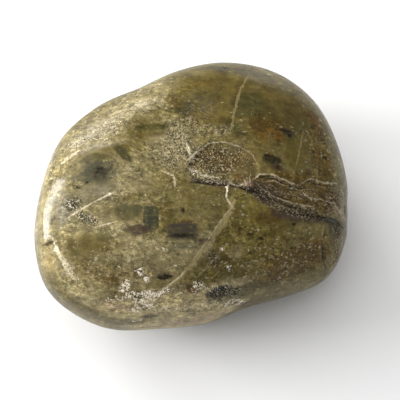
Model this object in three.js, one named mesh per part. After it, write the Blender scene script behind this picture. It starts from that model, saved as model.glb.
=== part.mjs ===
// A tumbled green opal: one pebble, tumble-polished all over, lying on the small flat
// that is worn on its underside.
// Millimetres, +Z up. The origin lies on the plane of that flat, under the middle of the plan.

import * as THREE from "three";
import { mergeVertices } from "three/addons/utils/BufferGeometryUtils.js";

// Driving sizes.
const BELLY_HEIGHT = 9.2; // the widest section, above the resting flat
const CROWN_RISE = 10.6; // from the widest section up to the top of the dome
const UNDERSIDE_DROP = 9.9; // from the widest section down to the rounded underside, uncut
const UNDERSIDE_BLUNTNESS = 2.3; // of the lower half of every upright section
const FLAT_ROUNDING = 0.45; // how far the resting flat's edge is rounded
const SURFACE_DIVISIONS = 19; // each edge of the starting icosahedron is cut this many times

// The plan outline at the widest section: bearing in degrees from +X, reach in millimetres, how
// blunt the upper half of the upright section is there (2 is an ellipse, more is a squarer
// shoulder), and how far the widest point lies above BELLY_HEIGHT.
const OUTLINE = [
  [0, 18.5, 2.4, -0.8],
  [20, 18.5, 2.5, -0.6],
  [40, 18.9, 2.6, -0.4],
  [60, 18.4, 2.6, 0],
  [80, 16.9, 2.7, 0.4],
  [100, 15.3, 2.9, 0.8],
  [120, 14.5, 3.0, 1.2],
  [140, 15.7, 3.1, 1.8],
  [160, 17.2, 3.3, 2.4],
  [180, 18.4, 3.6, 2.8],
  [200, 20.5, 3.5, 2.8],
  [215, 21.5, 3.1, 2.4],
  [235, 19.8, 2.6, 1.6],
  [255, 16.7, 2.4, 0.8],
  [275, 15.3, 2.3, 0.2],
  [295, 14.4, 2.1, -0.4],
  [312, 15.7, 2.0, -0.8],
  [330, 18.4, 2.1, -1],
  [345, 18.7, 2.2, -1],
];

// Faces that tumbling has worn on the pebble. Each looks along a bearing and leans back from
// straight up by so many degrees. Wear is how deep it is cut into the plain rounded body, and
// rounding is how softly it runs into the rest.
const WORN_FACES = [
  { name: "crown", bearing: 300, lean: 5, wear: 0.45, rounding: 0.5 },
  { name: "upper left", bearing: 126, lean: 40, wear: 0.8, rounding: 0.9 },
  { name: "left", bearing: 186, lean: 27, wear: 1.0, rounding: 1.4 },
  { name: "left end", bearing: 184, lean: 72, wear: 0.2, rounding: 0.5 },
  { name: "lower left end", bearing: 212, lean: 50, wear: 0.45, rounding: 0.4 },
  { name: "lower left", bearing: 238, lean: 44, wear: 0.5, rounding: 0.6 },
  { name: "lower right", bearing: 302, lean: 52, wear: 0.7, rounding: 0.6 },
  { name: "right", bearing: 12, lean: 38, wear: 0.4, rounding: 0.8 },
  { name: "far side", bearing: 68, lean: 48, wear: 0.4, rounding: 0.6 },
  { name: "under left", bearing: 170, lean: 132, wear: 0.5, rounding: 0.8 },
  { name: "under right", bearing: 335, lean: 134, wear: 0.4, rounding: 0.8 },
  { name: "under far side", bearing: 80, lean: 140, wear: 0.5, rounding: 0.6 },
];

// Broad swells (+) and hollows (-): where each is centred, its radius and its height.
const SWELLS = [
  { name: "ridge above the left end", at: [-13.7, 1.0, 20.3], radius: 3.4, height: 0.25 },
  { name: "dip in the left flank", at: [-14.5, -7.9, 19.2], radius: 3.2, height: -0.3 },
  { name: "swell over the front", at: [-3.7, -12.4, 17.9], radius: 4.2, height: 0.25 },
  { name: "dip beside the vein", at: [2.2, -9.2, 17.8], radius: 3.6, height: -0.22 },
  { name: "shoulder to the right", at: [10.4, -8.4, 15.1], radius: 4.0, height: 0.25 },
  { name: "dip in the far side", at: [-1.9, 7.4, 19.6], radius: 4.0, height: -0.2 },
  { name: "swell in the far side", at: [6.9, 6.7, 19.4], radius: 4.6, height: 0.2 },
  { name: "hollow underneath", at: [9.0, 5.5, 2.0], radius: 4.0, height: -0.35 },
  { name: "lump underneath", at: [-9.5, -6.0, 2.0], radius: 3.6, height: 0.25 },
];

// A flake broke away here along a natural crack. The scar lies a little below the polished
// surface and runs over the right-hand edge. Points are [x, y] in the plan.
const SCAR_DEPTH = 0.3;
const SCAR_WALL = 0.55; // width of the slope from the polished surface down to the scar
const SCAR_LOWEST = 6; // the scar dies out below this height
const SCAR = [
  [-0.9, 0.7],
  [0.3, 2.5],
  [1.9, 3.6],
  [3.5, 3.5],
  [4.9, 3.2],
  [6.9, 1.7],
  [7.7, -0.2],
  [8.9, -0.2],
  [11.7, -1.0],
  [13.5, 0.0],
  [16.7, 0.5],
  [20.5, 1.2],
  [20.5, -2.9],
  [16.4, -4.0],
  [12.5, -4.3],
  [8.6, -3.5],
  [5.8, -2.4],
  [3.0, -1.7],
  [1.0, -1.6],
  [-1.0, -0.2],
];

const radians = THREE.MathUtils.degToRad;
const smoothstep = THREE.MathUtils.smoothstep;

const outlineCurve = new THREE.CatmullRomCurve3(
  OUTLINE.map(([bearing, reach]) =>
    new THREE.Vector3(reach, 0, 0).applyAxisAngle(new THREE.Vector3(0, 0, 1), radians(bearing)),
  ),
  true,
  "centripetal",
);
const sectionCurve = new THREE.CatmullRomCurve3(
  OUTLINE.map(([, , bluntness, lift]) => new THREE.Vector3(bluntness, lift, 0)),
  true,
);
const OUTLINE_STEPS = 720;
const outlineSamples = Array.from({ length: OUTLINE_STEPS }, (_, i) => {
  const point = outlineCurve.getPoint(i / OUTLINE_STEPS);
  const section = sectionCurve.getPoint(i / OUTLINE_STEPS);
  return {
    bearing: Math.atan2(point.y, point.x),
    reach: Math.hypot(point.x, point.y),
    bluntness: section.x,
    lift: section.y,
  };
}).sort((a, b) => a.bearing - b.bearing);

// The outline's values along a bearing in radians, between -pi and pi.
function outlineAt(bearing) {
  const last = outlineSamples.length - 1;
  const next = outlineSamples.findIndex((sample) => sample.bearing >= bearing);
  const above = outlineSamples[next === -1 ? 0 : next];
  const below = outlineSamples[next <= 0 ? last : next - 1];
  const turn = 2 * Math.PI;
  const gap = (above.bearing - below.bearing + turn) % turn;
  const part = gap ? ((bearing - below.bearing + turn) % turn) / gap : 0;
  return {
    reach: THREE.MathUtils.lerp(below.reach, above.reach, part),
    bluntness: THREE.MathUtils.lerp(below.bluntness, above.bluntness, part),
    lift: THREE.MathUtils.lerp(below.lift, above.lift, part),
  };
}

// The lesser of a and b, rounded where they are within width of each other.
function softMin(a, b, width) {
  const nearness = Math.max(width - Math.abs(a - b), 0) / width;
  return Math.min(a, b) - (nearness ** 3 * width) / 6;
}

// How far the plain rounded body reaches along a unit direction from the belly's middle.
function bodyReach(direction) {
  const { reach, bluntness, lift } = outlineAt(Math.atan2(direction.y, direction.x));
  const level = Math.hypot(direction.x, direction.y);
  const isInside = (distance) => {
    const out = (level * distance) / reach;
    const up = direction.z * distance - lift * out ** 2;
    const [extent, power] =
      up > 0 ? [CROWN_RISE, bluntness] : [UNDERSIDE_DROP, UNDERSIDE_BLUNTNESS];
    return out ** power + (Math.abs(up) / extent) ** power < 1;
  };
  let inside = 0;
  let outside = 2 * reach;
  for (let step = 0; step < 40; step += 1) {
    const middle = (inside + outside) / 2;
    if (isInside(middle)) inside = middle;
    else outside = middle;
  }
  return inside;
}

const ball = new THREE.IcosahedronGeometry(1, SURFACE_DIVISIONS);
ball.deleteAttribute("normal");
ball.deleteAttribute("uv");
const sphere = mergeVertices(ball, 1e-5);
const directions = Array.from({ length: sphere.getAttribute("position").count }, (_, i) =>
  new THREE.Vector3().fromBufferAttribute(sphere.getAttribute("position"), i).normalize(),
);
const bodyPoints = directions.map((direction) =>
  direction.clone().multiplyScalar(bodyReach(direction)),
);

// Each worn face as a plane: its outward normal, and its distance from the belly's middle.
const wornPlanes = WORN_FACES.map(({ bearing, lean, wear, rounding }) => {
  const level = Math.sin(radians(lean));
  const normal = new THREE.Vector3(
    level * Math.cos(radians(bearing)),
    level * Math.sin(radians(bearing)),
    Math.cos(radians(lean)),
  );
  const furthest = Math.max(...bodyPoints.map((point) => normal.dot(point)));
  return { normal, distance: furthest - wear, rounding };
});

function wornReach(direction, reach) {
  return wornPlanes.reduce((kept, { normal, distance, rounding }) => {
    const facing = normal.dot(direction);
    return facing > 0 ? softMin(kept, distance / facing, rounding) : kept;
  }, reach);
}

function swellAt(point) {
  return SWELLS.reduce((total, { at, radius, height }) => {
    const distance = point.distanceTo(new THREE.Vector3(...at));
    return total + height * Math.exp(-((distance / radius) ** 2));
  }, 0);
}

// Distance from [x, y] to the scar's outline, positive inside it.
function insideScar(x, y) {
  let inside = false;
  let nearest = Infinity;
  SCAR.forEach(([ax, ay], i) => {
    const [bx, by] = SCAR[(i + 1) % SCAR.length];
    if (ay > y !== by > y && x < ax + ((bx - ax) * (y - ay)) / (by - ay)) inside = !inside;
    const edge = new THREE.Line3(new THREE.Vector3(ax, ay, 0), new THREE.Vector3(bx, by, 0));
    const closest = edge.closestPointToPoint(new THREE.Vector3(x, y, 0), true, new THREE.Vector3());
    nearest = Math.min(nearest, closest.distanceTo(new THREE.Vector3(x, y, 0)));
  });
  return inside ? nearest : -nearest;
}

function scarDepth(point) {
  const edge = insideScar(point.x, point.y);
  const height = smoothstep(point.z, SCAR_LOWEST, SCAR_LOWEST + 4);
  return SCAR_DEPTH * smoothstep(edge, -SCAR_WALL / 2, SCAR_WALL / 2) * height;
}

// The pebble's surface along a unit direction from the middle of its widest section.
function surfacePoint(direction) {
  const middle = new THREE.Vector3(0, 0, BELLY_HEIGHT);
  const at = (reach) => direction.clone().multiplyScalar(reach).add(middle);
  const worn = wornReach(direction, bodyReach(direction));
  const swollen = worn + swellAt(at(worn));
  const scarred = swollen - scarDepth(at(swollen));
  if (direction.z >= 0) return at(scarred);
  return at(softMin(scarred, -BELLY_HEIGHT / direction.z, FLAT_ROUNDING));
}

function pebbleGeometry() {
  const geometry = new THREE.BufferGeometry()
    .setFromPoints(directions.map(surfacePoint))
    .setIndex(sphere.getIndex());
  geometry.computeBoundingBox();
  const middle = geometry.boundingBox.getCenter(new THREE.Vector3());
  geometry.translate(-middle.x, -middle.y, -geometry.boundingBox.min.z);
  geometry.computeVertexNormals();
  return geometry;
}

const opal = new THREE.MeshStandardMaterial({ color: 0x746540, roughness: 0.25, metalness: 0 });

const stone = new THREE.Mesh(pebbleGeometry(), opal);
stone.name = "stone";

const pebble = new THREE.Group();
pebble.add(stone);

export default pebble;
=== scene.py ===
import math

import bmesh
import bpy
import numpy as np
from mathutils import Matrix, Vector
from mathutils.bvhtree import BVHTree
from mathutils.kdtree import KDTree


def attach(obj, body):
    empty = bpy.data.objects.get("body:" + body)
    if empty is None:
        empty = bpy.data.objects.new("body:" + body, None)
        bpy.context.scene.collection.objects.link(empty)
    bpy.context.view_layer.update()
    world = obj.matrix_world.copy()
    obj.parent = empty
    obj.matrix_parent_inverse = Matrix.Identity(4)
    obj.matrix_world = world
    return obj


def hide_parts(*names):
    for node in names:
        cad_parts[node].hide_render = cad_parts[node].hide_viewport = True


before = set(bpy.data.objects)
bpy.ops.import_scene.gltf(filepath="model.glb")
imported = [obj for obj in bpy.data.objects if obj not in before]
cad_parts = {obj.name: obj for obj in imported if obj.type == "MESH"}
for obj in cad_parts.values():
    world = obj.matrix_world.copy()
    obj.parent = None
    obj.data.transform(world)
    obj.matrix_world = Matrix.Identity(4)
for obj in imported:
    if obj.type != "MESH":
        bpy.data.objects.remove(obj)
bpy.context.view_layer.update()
mm = 0.001
markedAbove = 8  # mm over the floor: the marks of the upper side end here

# The skin: the pebble's own solid, smoothed until no facet shows, with more triangles where the detail is.
skin = {
    "rounds": 2,  # each round cuts a triangle into four
    "mergeWithin": 0.002 * mm,
    "finer": [  # x, y, half length, half width, turn: ellipses of the plan, in mm
        (3.4, 1.2, 5.4, 3.6, 0),
        (13.2, -2.4, 6.4, 2.9, -4),
        (1.2, -9, 8.4, 2, 52),
        (-3.5, -13.9, 6, 2.4, 0),
        (4.6, -13.4, 2.8, 1.6, 0),
        (-2.4, -7.2, 5.2, 2.4, 0),
        (-17, -7.6, 2.2, 3.6, 20),
        (9.6, 3.4, 2.4, 3.4, 0),
        (-12, -4.8, 3.4, 1.2, 26),
    ],
}


def loopSmooth(points, corners):  # one round of Loop's subdivision, with its own weights
    edges = np.sort(np.concatenate([corners[:, [0, 1]], corners[:, [1, 2]], corners[:, [2, 0]]]), axis=1)
    across = np.concatenate([corners[:, 2], corners[:, 0], corners[:, 1]])
    edge, edgeOf = np.unique(edges, axis=0, return_inverse=True)
    edgeOf = edgeOf.ravel()
    middles = points[edge].sum(1) * 3 / 8
    np.add.at(middles, edgeOf, points[across] / 8)
    count = np.bincount(edge.ravel(), minlength=len(points))
    ring = np.zeros_like(points)
    np.add.at(ring, edge[:, 0], points[edge[:, 1]])
    np.add.at(ring, edge[:, 1], points[edge[:, 0]])
    pull = 5 / 8 - (3 / 8 + np.cos(2 * np.pi / count) / 4) ** 2
    kept = points * (1 - pull)[:, None] + ring * (pull / count)[:, None]
    a, b, c = corners.T
    ab, bc, ca = len(points) + edgeOf.reshape(3, -1)
    finer = np.concatenate([np.stack(t, 1) for t in ((a, ab, ca), (b, bc, ab), (c, ca, bc), (ab, bc, ca))])
    return np.concatenate([kept, middles]), finer


def inFinerZone(points):
    chosen = np.zeros(len(points), bool)
    for x, y, halfLength, halfWidth, turn in skin["finer"]:
        c, s = math.cos(math.radians(turn)), math.sin(math.radians(turn))
        dx, dy = points[:, 0] / mm - x, points[:, 1] / mm - y
        chosen |= ((dx * c + dy * s) / halfLength) ** 2 + ((dy * c - dx * s) / halfWidth) ** 2 < 1
    return chosen & (points[:, 2] > markedAbove * mm)


def makeSkin():
    work = bmesh.new()
    work.from_mesh(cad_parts["stone"].data)
    bmesh.ops.remove_doubles(work, verts=work.verts, dist=skin["mergeWithin"])
    bmesh.ops.triangulate(work, faces=work.faces)
    points = np.array([v.co for v in work.verts])
    corners = np.array([[v.index for v in f.verts] for f in work.faces])
    work.free()
    for _ in range(skin["rounds"]):
        points, corners = loopSmooth(points, corners)
    made = bpy.data.meshes.new("opalPebble")
    made.from_pydata(points.tolist(), [], corners.tolist())
    chosen = inFinerZone(points)
    work = bmesh.new()
    work.from_mesh(made)
    halved = [e for e in work.edges if chosen[e.verts[0].index] and chosen[e.verts[1].index]]
    bmesh.ops.subdivide_edges(work, edges=halved, cuts=1, use_grid_fill=True)
    bmesh.ops.triangulate(work, faces=work.faces)
    work.to_mesh(made)
    work.free()
    made.polygons.foreach_set("use_smooth", [True] * len(made.polygons))
    return made


mesh = makeSkin()
places = np.zeros(len(mesh.vertices) * 3, np.float32)
mesh.vertices.foreach_get("co", places)
places = places.reshape(-1, 3).astype(float) / mm
surface = BVHTree.FromPolygons([v.co for v in mesh.vertices], [p.vertices for p in mesh.polygons])
print(f"skin: {len(mesh.polygons)} triangles")


def fade(value, start, end):  # 1 at start, easing to 0 at end
    t = np.clip((end - value) / (end - start), 0, 1)
    return t * t * (3 - 2 * t)


def keepField(name, values):
    mesh.attributes.new(name, "FLOAT", "POINT").data.foreach_set("value", values.astype(np.float32))


# The place on the stone right below a point of its plan, and the way out of the stone there.
def onTop(x, y, wellAbove=100, widest=10):
    found, outward, _, _ = surface.ray_cast(Vector((x, y, wellAbove)) * mm, Vector((0, 0, -1)))
    if found is None:  # just past the edge of the plan
        found, outward, _, _ = surface.find_nearest(Vector((x, y, widest)) * mm)
    return np.array(found) / mm, np.array(outward)


# Soft patches of colour and wear on the upper side, in mm of the plan:
# x, y, half length, half width, turn in degrees, strength.
# The ground tones are partly painted light and shade: khaki, sand and beige make the stone lighter towards -x
# and -y, moss, bottle and umber darker towards +x and +y; the rest is the stone's own tone.
patches = {
    "khaki": [
        (-12.5, -3, 7, 9, 0, 1),
        (-12, 5, 5, 3.4, 35, 0.8),
        (-6.5, 9.3, 6, 2.8, 25, 0.75),
        (-2.6, 3, 2.8, 3, 0, 1),
        (-7.5, -10.8, 5.5, 3.4, 0, 1),
        (1.2, 0.2, 2.2, 2.2, 0, 0.8),
        (1.4, -8.6, 1.6, 1.3, 30, 0.8),
        (-12, -13.4, 3.6, 1.8, 10, 1),
        (-1, -14.4, 7.5, 1.8, 0, 1),
        (-0.8, -9.8, 2.6, 1.6, 0, 0.8),
        (4.9, -8.9, 1.2, 1.6, 0, 0.7),
        (-12.8, -14, 3.6, 1.6, -35, 0.9),
    ],
    "sand": [
        # the first two are painted light: the bright golden rim round the highlight at the left edge
        (-17.6, -3, 1.4, 6, 0, 0.7),
        (-16.6, -10.6, 2, 2.4, 30, 0.75),
        (-1.4, -15.2, 7.5, 2.2, 0, 1.3),
        (-12.4, -14.8, 3.4, 1.2, -35, 0.7),
        # these two, on the upper-left shoulder, are partly painted sheen
        (-7.4, 8.2, 2.6, 0.9, 25, 0.6),
        (-12.2, 5, 2.6, 1.4, 40, 0.25),
        (-2.4, 2.2, 1.2, 1.4, 0, 0.6),
    ],
    # painted sheen: a pale grey veil standing for light that the polish reflects, and along the right rim for
    # its grey reflection at grazing angles
    "paintedSheen": [
        (-15.2, -5, 1.2, 2.2, 0, 0.5),
        (-11.6, 4.8, 3.6, 2, 35, 0.4),
        (-6.6, 8, 3.2, 1.2, 25, 0.4),
        (-11, -3, 2.8, 1.2, 10, 0.4),
        (-1.6, -9.8, 1.8, 1.2, 0, 0.2),
        (-11.3, 2.5, 2.6, 0.8, 12, 0.45),
        (18.2, -1.5, 1.3, 7, 0, 0.5),
    ],
    "moss": [
        (3, 9.3, 5.5, 3.8, 0, 1.1),
        (-12, -9.3, 4, 1.4, 3, 0.68),
        (-13.2, -11, 1.6, 1.2, 0, 0.4),
        (9.2, 8.3, 6, 4.5, -30, 0.8),
        (4, 14.3, 8, 1.6, -5, 0.8),
        (12.5, 4, 5, 4, 0, 0.6),
        (-4.9, 4.4, 2.2, 1, 20, 0.6),
    ],
    "bottle": [
        (-4.4, 5.3, 2.4, 0.5, 8, 0.9),
        (-1.8, 7.5, 1.6, 0.4, 0, 1),
        (6.8, 8.3, 2.2, 1.9, 0, 1.3),
        (5, 5.2, 1.8, 0.8, -35, 0.7),
        (7.6, -12, 3, 1.1, 14, 0.7),
        (-7.6, -5.4, 2.2, 1.1, 0, 0.65),
        (17, -5, 1.4, 1.2, -30, 1.2),
        (9.5, 1.2, 1.6, 1, -20, 0.8),
        (11.4, 4.9, 1, 0.7, 0, 0.9),
        (-8.2, 1.7, 1.3, 0.6, -45, 1),
    ],
    "lime": [
        (6.4, -5.2, 3.4, 2, 0, 1),
        (4.2, -7.6, 1.8, 2, -40, 0.9),
        (1.6, -12.4, 2.6, 1.2, 10, 0.7),
        (12, 2.6, 1.3, 2.4, -10, 0.8),
        (8.5, -8, 3.4, 1.8, 0, 0.8),
        (-6.6, -3.6, 2.6, 0.7, 10, 0.5),
        (-9.5, 1.9, 3.4, 0.9, 15, 0.7),
    ],
    "umber": [
        (14.5, 7.3, 2.4, 1.6, -50, 0.9),
        (12, -9.4, 5, 2.4, 10, 0.9),
        (13, -2, 6.2, 2.3, -5, 1),
        (8.8, -2, 2.8, 1.5, -15, 1),
        (15.6, 2.4, 1.8, 2.8, 0, 0.8),
        (2.6, 1.2, 3.2, 1.6, 0, 0.9),
        (6.2, 1.4, 1.8, 2, 0, 0.65),
        (9, 5.4, 2.8, 1.8, 0, 0.8),
        (-1.15, -6.5, 1.6, 0.5, 0, 0.6),
        (0.6, 8, 2.6, 2.6, 0, 0.4),
        (9.9, 0.2, 0.8, 0.6, 0, 1),
        (9.4, -5.4, 2.6, 0.8, 10, 0.7),
        (-10.2, -12.3, 4.6, 2.2, -10, 0.5),
    ],
    "ochre": [
        (9.5, 4.4, 1.5, 1.2, 0, 0.65),
        (1.1, 11.4, 1.4, 0.5, 0, 0.5),
        (0, -13.6, 1.1, 0.7, 0, 0.7),
        (-10.2, -13.1, 1.6, 0.4, 0, 0.5),
        (14.6, 8, 1.4, 0.7, -45, 0.8),
        (15, -7, 1.6, 0.8, 0, 0.5),
        (5.6, -1.2, 0.9, 0.9, 0, 0.6),
    ],
    "beige": [
        (0.8, -14.6, 5.6, 1.8, 0, 0.85),
        (-1, -16.1, 6.6, 2.2, 0, 1.1),
        (-8, -15.9, 3, 1.6, -20, 0.8),
        (-6.6, -14, 2.6, 1.8, 0, 0.5),
        (3.6, -13.8, 3, 0.8, 12, 0.5),
    ],
    "paintedGlow": [
        # painted glow: warm bright light at the lower-left edge
        (-16.8, -10.6, 0.9, 1.5, 12, 0.7),
    ],
    "slate": [
        (-11.3, -0.6, 2, 1.4, 10, 1.1),
        (-12.7, -1.2, 1.4, 0.8, 0, 0.7),
        (-11.6, 1, 2.2, 0.7, 10, 0.6),
        (-7, -5.3, 1.8, 0.9, 0, 0.45),
        (-8.2, 1.7, 1.3, 0.55, -45, 0.45),
        (-14.1, -4.4, 1.4, 1.3, 0, 0.75),
        (-12.4, -6.2, 1.2, 0.5, -30, 0.7),
        (0.8, 8.2, 2.6, 2.2, 0, 0.42),
        (-0.6, -9.2, 1.9, 0.6, 0, 0.5),
        (4, -13.5, 2.3, 0.9, -5, 1),
        (4, 13.9, 5, 0.5, -6, 0.6),
    ],
    "teal": [
        (3.2, -13.4, 1.7, 0.8, -5, 1.2),
        (5.4, -13.3, 1, 0.6, 10, 0.5),
        (16.9, -4.8, 1, 0.5, -45, 0.9),
    ],
    "plum": [
        (-10.8, -0.9, 0.9, 0.9, 0, 0.42),
        (-6.4, -7.5, 1.5, 0.6, -6, 1.1),
        (1.2, -8.45, 1.3, 0.26, 0, 0.75),
        (-5.3, -16.1, 0.9, 0.4, -20, 0.8),
        (-9.8, 7.8, 1, 0.4, 20, 0.5),
        (8, -2.7, 1.9, 0.6, -18, 1),
        (8.8, -2.5, 2.4, 1.1, -20, 1),
        (-1.15, -6.7, 1.6, 0.3, 0, 0.5),
        (12.4, -4.7, 3.6, 0.9, 0, 1.15),
        (2.7, -1.65, 2.9, 0.5, -6, 1.15),
        (2.4, -10.6, 0.4, 1, 35, 0.55),
        (-17, -8.6, 0.9, 0.24, 12, 0.9),
        (-1.15, -5.2, 0.3, 0.42, 0, 1),
        (11.2, 5.3, 1, 0.36, -5, 1),
        (10, 0.5, 0.65, 0.45, 0, 1),
        (8.4, -3.2, 2, 0.7, -22, 1.2),
        (-3.3, -12.6, 1, 0.5, 5, 0.7),
    ],
    "pink": [
        (6.45, -1.75, 0.6, 0.5, -10, 0.9),
        (12.4, -5, 2.6, 0.3, 4, 0.55),
        (-8.6, -15.6, 2.4, 0.8, -25, 0.55),
        (0.6, -16, 4.2, 1.6, 0, 0.5),
        (17, -2.6, 1, 0.6, -20, 0.6),
        (3.4, -9.2, 0.35, 0.28, -20, 0.9),
    ],
    "ink": [
        (-10.9, -0.5, 0.8, 0.7, 0, 0.58),
        (-12.3, -1.9, 0.24, 0.18, 0, 0.8),
        (-13.4, -2.4, 0.18, 0.14, 0, 1),
        (9.3, 1.5, 1.3, 0.6, -8, 0.75),
        (10, 0.5, 0.4, 0.3, 0, 0.6),
        (-1.15, -5.15, 0.18, 0.28, 0, 0.9),
        (11, 5.35, 0.7, 0.18, 0, 1),
        (11.5, 4.8, 0.35, 0.3, 0, 0.8),
        (-3.2, -12.7, 0.9, 0.3, 5, 1),
        (-1.2, -8.08, 1.5, 0.24, 2, 0.85),
        (3.1, -13.4, 1.5, 0.7, -5, 1.2),
        (2.9, -10.3, 0.35, 0.9, 30, 0.35),
        (4.8, -13.8, 0.7, 0.3, -15, 0.9),
        (6.8, -7.3, 0.5, 0.2, 10, 0.9),
        (8, -7.7, 0.35, 0.24, -25, 0.9),
        (5.6, -6.9, 0.34, 0.2, 0, 0.8),
        (11.9, -5.9, 0.4, 0.22, 0, 0.8),
        (2.6, -10, 0.18, 0.18, 0, 1),
        (3.1, -10.6, 0.2, 0.18, 0, 0.9),
        (3.9, -11.1, 0.4, 0.16, -30, 0.8),
        (7.4, -2.5, 1.1, 0.5, -16, 1.25),
        (8.3, -3.2, 0.7, 0.38, -28, 1.2),
        (16.2, -4.5, 1.3, 0.4, -8, 1.1),
        (17.2, -4.9, 0.8, 0.24, -50, 1),
        (0.6, -1.5, 0.6, 0.14, -4, 1),
        (2, -1.7, 0.7, 0.18, 4, 1),
        (3.6, -1.5, 0.5, 0.14, -10, 0.9),
        (5, -1.85, 0.8, 0.2, -6, 1.1),
        (4, 14.2, 0.5, 0.3, 0, 0.8),
        (15.8, 3.1, 0.42, 0.26, 0, 0.8),
        (-4, -14.3, 0.3, 0.15, 30, 0.9),
        (-13.9, -4.5, 0.3, 0.25, 0, 0.9),
    ],
    "rough": [  # crushed, and dull
        (-1.7, 2.8, 1.9, 2.4, 0, 0.9),
        (-2.8, 0.6, 1.4, 1, 0, 0.7),
        (-0.8, 5.5, 2, 1.8, 0, 0.7),
        (2, 4.9, 2.6, 0.9, -5, 0.7),
        (2.2, 1, 2.6, 2, 0, 1.6),
        (0.8, -0.6, 1.2, 0.8, 0, 1.3),
        (2.8, -1.3, 2.6, 0.7, -8, 1.3),
        (12.4, -4.2, 4, 0.9, -2, 1),
        (16.6, -1.6, 1.4, 1.4, 0, 0.9),
        (12.6, -2, 3, 1.4, -10, 0.5),
        (-14, -4.4, 1.1, 1.1, 0, 1),
        (-12.3, -6.2, 1.6, 0.7, -30, 0.8),
        (3.8, -13.5, 2.4, 1, -4, 1),
        (8.2, -2.8, 1.6, 0.7, -18, 0.8),
        (2.4, -10.5, 0.8, 1.3, 35, 0.8),
        (17.2, -7.4, 0.9, 1.8, 0, 0.8),
        (17.2, -5.4, 1, 1.4, 0, 0.8),
        (0.6, 7.4, 1.8, 2, 0, 0.35),
        (-4.4, 1.6, 1.2, 1.2, 0, 0.6),
        (5.6, 1.4, 1.8, 1.7, 0, 0.6),
        (-2.2, -0.2, 1.6, 0.8, 0, 0.6),
    ],
    "lively": [  # grainy under the polish
        (-11.5, -3, 9, 12, 0, 1),
        (-2, -13, 11, 5, 0, 1),
        (11, -9.4, 6, 3.4, 0, 0.9),
        (12, -2.4, 7, 2.6, 0, 0.9),
        (-1, 2, 6, 5, 0, 0.7),
        (-8, 8, 8, 3, 25, 1),
        (15.5, 4, 2.6, 5, 20, 0.7),
        (5, -8, 4, 4.5, 0, 0.7),
        (8, 5.4, 4.6, 2.6, 0, 0.35),
    ],
    "calm": [  # smooth
        (-12.8, -9.2, 2.8, 1.4, 5, 1),
        (-11.3, -2.6, 2.6, 0.8, 15, 1),
        (-8.4, -5.6, 2.6, 1.1, 5, 1),
        (-10.6, 1.7, 3.2, 0.8, 12, 1),
        (-6.2, -2, 2, 0.8, 20, 0.6),
        (6.2, 1, 1.3, 1.8, 20, 1),
        (12.1, 2.6, 1.5, 2.2, -8, 1),
        (6.6, -4.8, 3, 1.4, 0, 0.6),
        (2.6, 11.8, 5, 1.6, 0, 1),
        (6.4, 9, 2.8, 2, 0, 0.8),
        (10.9, 8.4, 3.6, 2.4, -30, 1),
        (-4.8, 4.1, 2.2, 0.9, 15, 0.8),
        (-17.9, -5, 0.9, 7, 0, 0.7),
        (-16.8, -10.6, 1, 1.6, 20, 1),
    ],
    "flecked": [  # cream flecks
        (-10, -11, 6, 3, 0, 1),
        (-7, -7.8, 4, 1.2, 0, 0.8),
        (-6.3, -3.7, 2.4, 0.6, 5, 1),
        # these three, on the upper-left shoulder, are partly cream grains and partly painted sheen
        (-10.8, 5.2, 3.4, 1.8, 30, 1.6),
        (-6, 8.6, 3, 1.2, 25, 1),
        (-13.8, 3.2, 2.4, 1.4, 48, 1.5),
        (-12.4, -5.6, 2.4, 1.4, -20, 1),
        (0, -14.4, 7, 1.8, 0, 1),
        (10.5, -9.6, 5, 3, 0, 1.3),
        (4.6, -10.2, 2.6, 1.2, 0, 0.7),
        (13.6, -2.6, 4.6, 1.8, -5, 0.7),
        (-2, 2.2, 2, 2, 0, 0.8),
        (15.6, 5.4, 1.4, 2.6, 20, 0.8),
    ],
    "frost": [  # clusters of white grains
        (-6.2, -12.2, 0.8, 0.5, -35, 1.2),
        (-5.5, -12.9, 0.7, 0.4, -60, 0.95),
        (-7.9, -13.8, 1, 0.6, 75, 1.35),
        (-7, -14.6, 1, 0.6, 0, 1.3),
        (-5.6, -14.7, 1.8, 0.9, 20, 1.1),
        (-4.4, -14.6, 2.6, 0.3, 37, 1.25),
        (-5.9, -15.6, 1.8, 0.7, 30, 1),
        (-6.8, -16.4, 0.9, 0.45, 10, 0.7),
        (-9, -15, 1.6, 0.6, 0, 0.6),
        (-2.4, -15.4, 3.2, 0.8, 0, 0.55),
        (1.6, -14.7, 2, 0.8, 0, 0.55),
        (-3.45, -9.75, 0.22, 0.15, -20, 1.5),
        (3.4, -9.2, 0.26, 0.18, -20, 1.4),
        (4.4, -11, 0.6, 0.36, -20, 0.8),
        (0.6, -13.4, 1, 0.9, 0, 0.8),
        (-1.4, -14.1, 0.22, 0.18, 0, 1.5),
        (-2, -11.4, 0.24, 0.16, 0, 1.3),
        (4.4, -13.9, 1.8, 0.6, -5, 0.9),
        (5.8, -13.5, 0.9, 0.6, 5, 1),
        (3.4, -13, 2, 0.7, 0, 0.45),
        (2, -13.3, 0.6, 0.7, 0, 0.7),
        # these three, on the upper-left shoulder, are partly white grains and partly painted sheen
        (-10.4, 5, 3.4, 2, 30, 0.5),
        (-6, 8.8, 2.2, 0.7, 25, 0.5),
        (-13.4, 3.6, 2.2, 1.2, 48, 0.5),
        (0.4, -0.4, 0.9, 0.3, -10, 0.9),
        (-14.5, -11.7, 1.3, 0.5, -56, 0.5),
        (-13.3, -13, 0.18, 0.16, 0, 1.6),
        (3.95, -2.4, 0.2, 0.45, 0, 1.3),
        (-9.7, -3.2, 0.18, 0.14, 0, 1.4),
        (-14.1, -4.3, 0.9, 0.8, 0, 0.5),
        (-12.4, -6, 1.8, 0.5, -20, 0.5),
    ],
    "matt": [  # the polish is worn here
        (-15.7, -0.3, 1.6, 0.8, 0, 1),
        (-16.9, -8.9, 1, 0.8, 12, 1.2),
        (-15.9, -8, 0.5, 0.4, 0, 1),
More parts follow.
